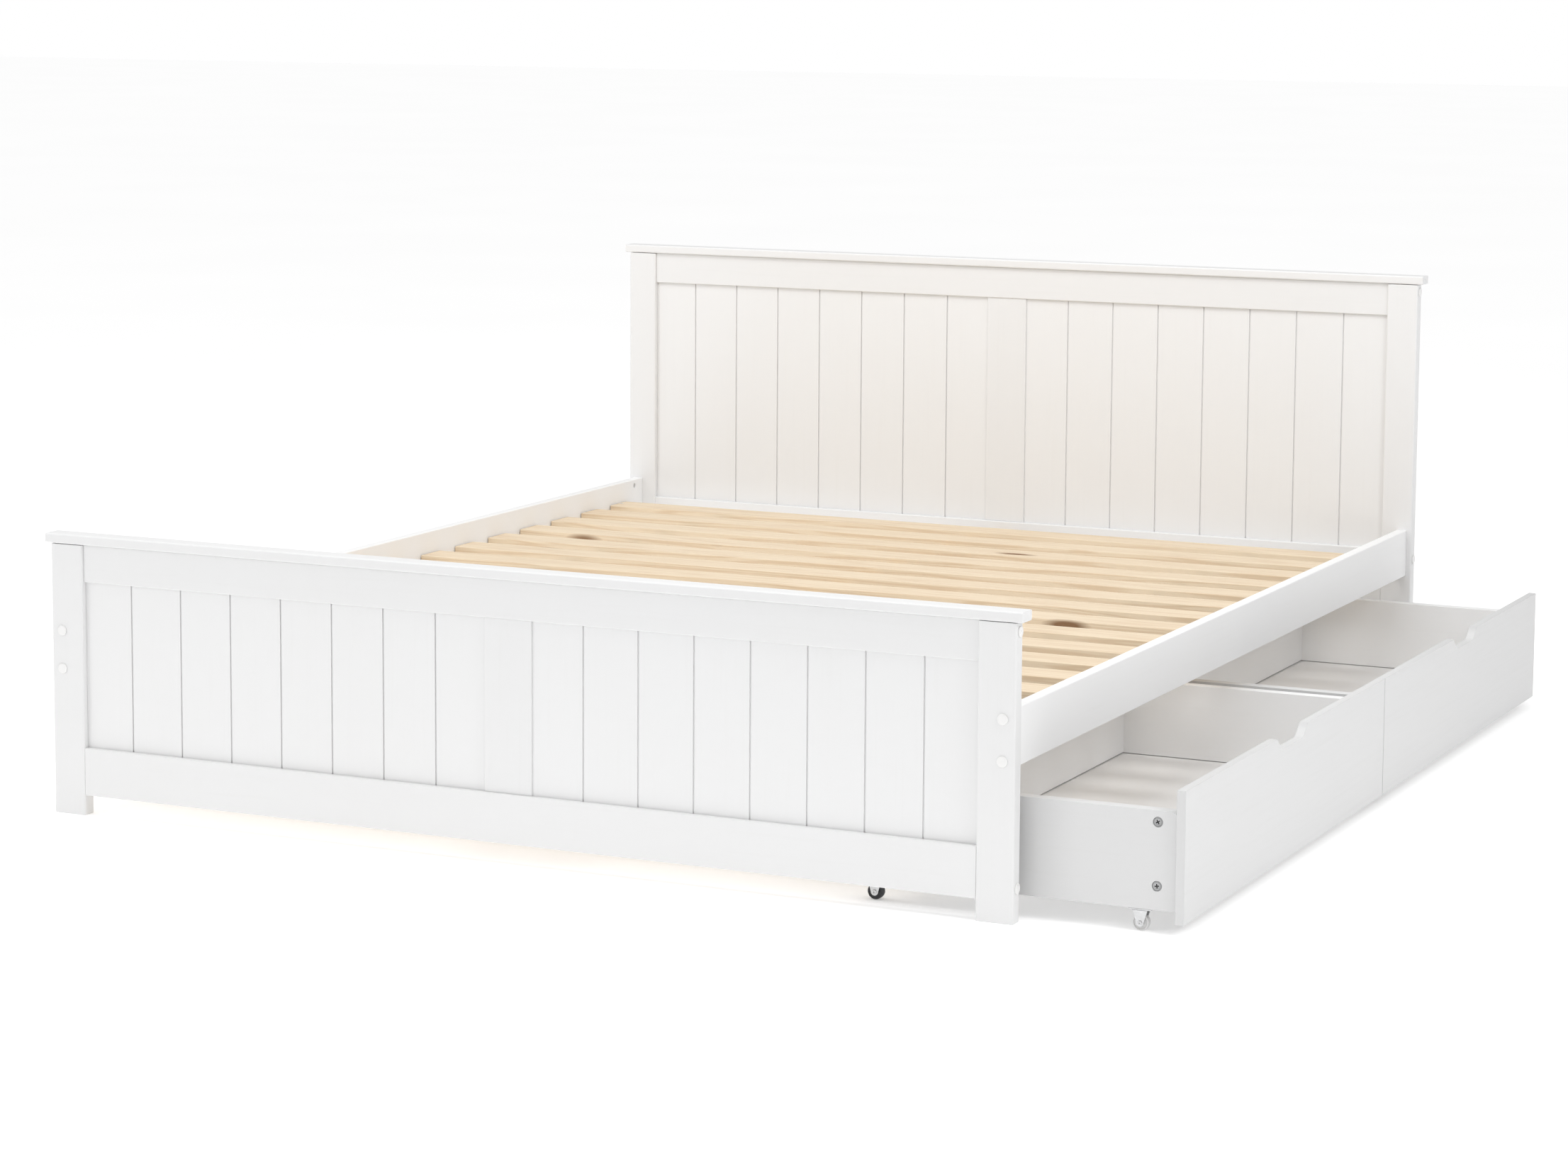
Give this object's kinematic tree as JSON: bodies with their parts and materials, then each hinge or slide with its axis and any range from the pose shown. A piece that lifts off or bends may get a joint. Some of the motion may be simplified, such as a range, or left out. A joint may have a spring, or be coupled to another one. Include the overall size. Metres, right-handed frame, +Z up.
{
  "type": "bed frame",
  "caption": "Wooden bed frame with a tongue-and-groove headboard and footboard, side rails, a slatted base and under-bed drawers that roll out on castors.",
  "frame": {"origin": "on the floor under the middle centre leg, which is the centre of the rectangle of the four posts", "axes": "+X to the side that the drawers roll out from, +Y from the footboard to the headboard, +Z up"},
  "size_m": [1.96, 2.0872, 0.81],
  "materials": {
    "white_paint": "satin white paint on solid pine",
    "panel_paint": "satin white paint on thin boards",
    "pine": "planed, unpainted pine",
    "zinc": "bright zinc plate",
    "white_plastic": "white moulded plastic",
    "nylon": "natural white nylon",
    "rubber": "dark grey rubber",
    "webbing": "woven polyester tape"
  },
  "bodies": {
    "bed_frame": {"headboard_left_post": "white_paint", "headboard_right_post": "white_paint", "headboard_cap": "white_paint", "headboard_top_rail": "white_paint", "headboard_lower_rail": "white_paint", "headboard_boards": "panel_paint", "headboard_stile": "white_paint", "footboard_left_post": "white_paint", "footboard_right_post": "white_paint", "footboard_cap": "white_paint", "footboard_top_rail": "white_paint", "footboard_lower_rail": "white_paint", "footboard_boards": "panel_paint", "footboard_stile": "white_paint", "cap_dowels": "pine", "panel_bolts": "zinc", "side_rail_bolts": "zinc", "barrel_nuts": "zinc", "plug_caps": "white_plastic", "left_side_rail": "white_paint", "right_side_rail": "white_paint", "left_slat_ledger": "pine", "right_slat_ledger": "pine", "wood_screws": "zinc", "slats": "pine", "slat_straps": "webbing", "centre_beam": "pine", "beam_hangers": "zinc", "centre_legs": "pine", "leg_studs": "zinc", "leg_glides": "white_plastic"},
    "drawer_1": {"drawer_1_front": "white_paint", "drawer_1_near_side": "white_paint", "drawer_1_far_side": "white_paint", "drawer_1_back": "white_paint", "drawer_1_bottom": "panel_paint", "drawer_1_cam_locks": "zinc", "drawer_1_cam_bolts": "zinc", "drawer_1_screws": "zinc", "drawer_1_castor_brackets": "zinc", "drawer_1_castor_axles": "zinc"},
    "drawer_1_wheel_1": {"drawer_1_wheel_1": "rubber"},
    "drawer_1_wheel_2": {"drawer_1_wheel_2": "rubber"},
    "drawer_1_wheel_3": {"drawer_1_wheel_3": "nylon"},
    "drawer_1_wheel_4": {"drawer_1_wheel_4": "nylon"},
    "drawer_2": {"drawer_2_front": "white_paint", "drawer_2_near_side": "white_paint", "drawer_2_far_side": "white_paint", "drawer_2_back": "white_paint", "drawer_2_bottom": "panel_paint", "drawer_2_cam_locks": "zinc", "drawer_2_cam_bolts": "zinc", "drawer_2_screws": "zinc", "drawer_2_castor_brackets": "zinc", "drawer_2_castor_axles": "zinc"},
    "drawer_2_wheel_1": {"drawer_2_wheel_1": "rubber"},
    "drawer_2_wheel_2": {"drawer_2_wheel_2": "rubber"},
    "drawer_2_wheel_3": {"drawer_2_wheel_3": "nylon"},
    "drawer_2_wheel_4": {"drawer_2_wheel_4": "nylon"}
  },
  "joints": [
    {"name": "drawer_1_slide", "type": "slide", "parent": "bed_frame", "child": "drawer_1", "axis": [1, 0, 0], "range_m": [-0.26, 0.3]},
    {"name": "drawer_1_wheel_1_spin", "type": "hinge", "parent": "drawer_1", "child": "drawer_1_wheel_1", "pos_m": [0.605, -0.9775, 0.0125], "axis": [0, 1, 0], "continuous": true},
    {"name": "drawer_1_wheel_2_spin", "type": "hinge", "parent": "drawer_1", "child": "drawer_1_wheel_2", "pos_m": [0.605, -0.0215, 0.0125], "axis": [0, 1, 0], "continuous": true},
    {"name": "drawer_1_wheel_3_spin", "type": "hinge", "parent": "drawer_1", "child": "drawer_1_wheel_3", "pos_m": [1.028, -0.9775, 0.0125], "axis": [0, 1, 0], "continuous": true},
    {"name": "drawer_1_wheel_4_spin", "type": "hinge", "parent": "drawer_1", "child": "drawer_1_wheel_4", "pos_m": [1.028, -0.0215, 0.0125], "axis": [0, 1, 0], "continuous": true},
    {"name": "drawer_2_slide", "type": "slide", "parent": "bed_frame", "child": "drawer_2", "axis": [1, 0, 0], "range_m": [-0.26, 0.3]},
    {"name": "drawer_2_wheel_1_spin", "type": "hinge", "parent": "drawer_2", "child": "drawer_2_wheel_1", "pos_m": [0.605, 0.0215, 0.0125], "axis": [0, 1, 0], "continuous": true},
    {"name": "drawer_2_wheel_2_spin", "type": "hinge", "parent": "drawer_2", "child": "drawer_2_wheel_2", "pos_m": [0.605, 0.9775, 0.0125], "axis": [0, 1, 0], "continuous": true},
    {"name": "drawer_2_wheel_3_spin", "type": "hinge", "parent": "drawer_2", "child": "drawer_2_wheel_3", "pos_m": [1.028, 0.0215, 0.0125], "axis": [0, 1, 0], "continuous": true},
    {"name": "drawer_2_wheel_4_spin", "type": "hinge", "parent": "drawer_2", "child": "drawer_2_wheel_4", "pos_m": [1.028, 0.9775, 0.0125], "axis": [0, 1, 0], "continuous": true}
  ],
  "couplings": [
    {"joint": "drawer_1_wheel_1_spin", "follows": "drawer_1_slide", "rad_per_m": 80},
    {"joint": "drawer_1_wheel_2_spin", "follows": "drawer_1_slide", "rad_per_m": 80},
    {"joint": "drawer_1_wheel_3_spin", "follows": "drawer_1_slide", "rad_per_m": 80},
    {"joint": "drawer_1_wheel_4_spin", "follows": "drawer_1_slide", "rad_per_m": 80},
    {"joint": "drawer_2_wheel_1_spin", "follows": "drawer_2_slide", "rad_per_m": 80},
    {"joint": "drawer_2_wheel_2_spin", "follows": "drawer_2_slide", "rad_per_m": 80},
    {"joint": "drawer_2_wheel_3_spin", "follows": "drawer_2_slide", "rad_per_m": 80},
    {"joint": "drawer_2_wheel_4_spin", "follows": "drawer_2_slide", "rad_per_m": 80}
  ]
}
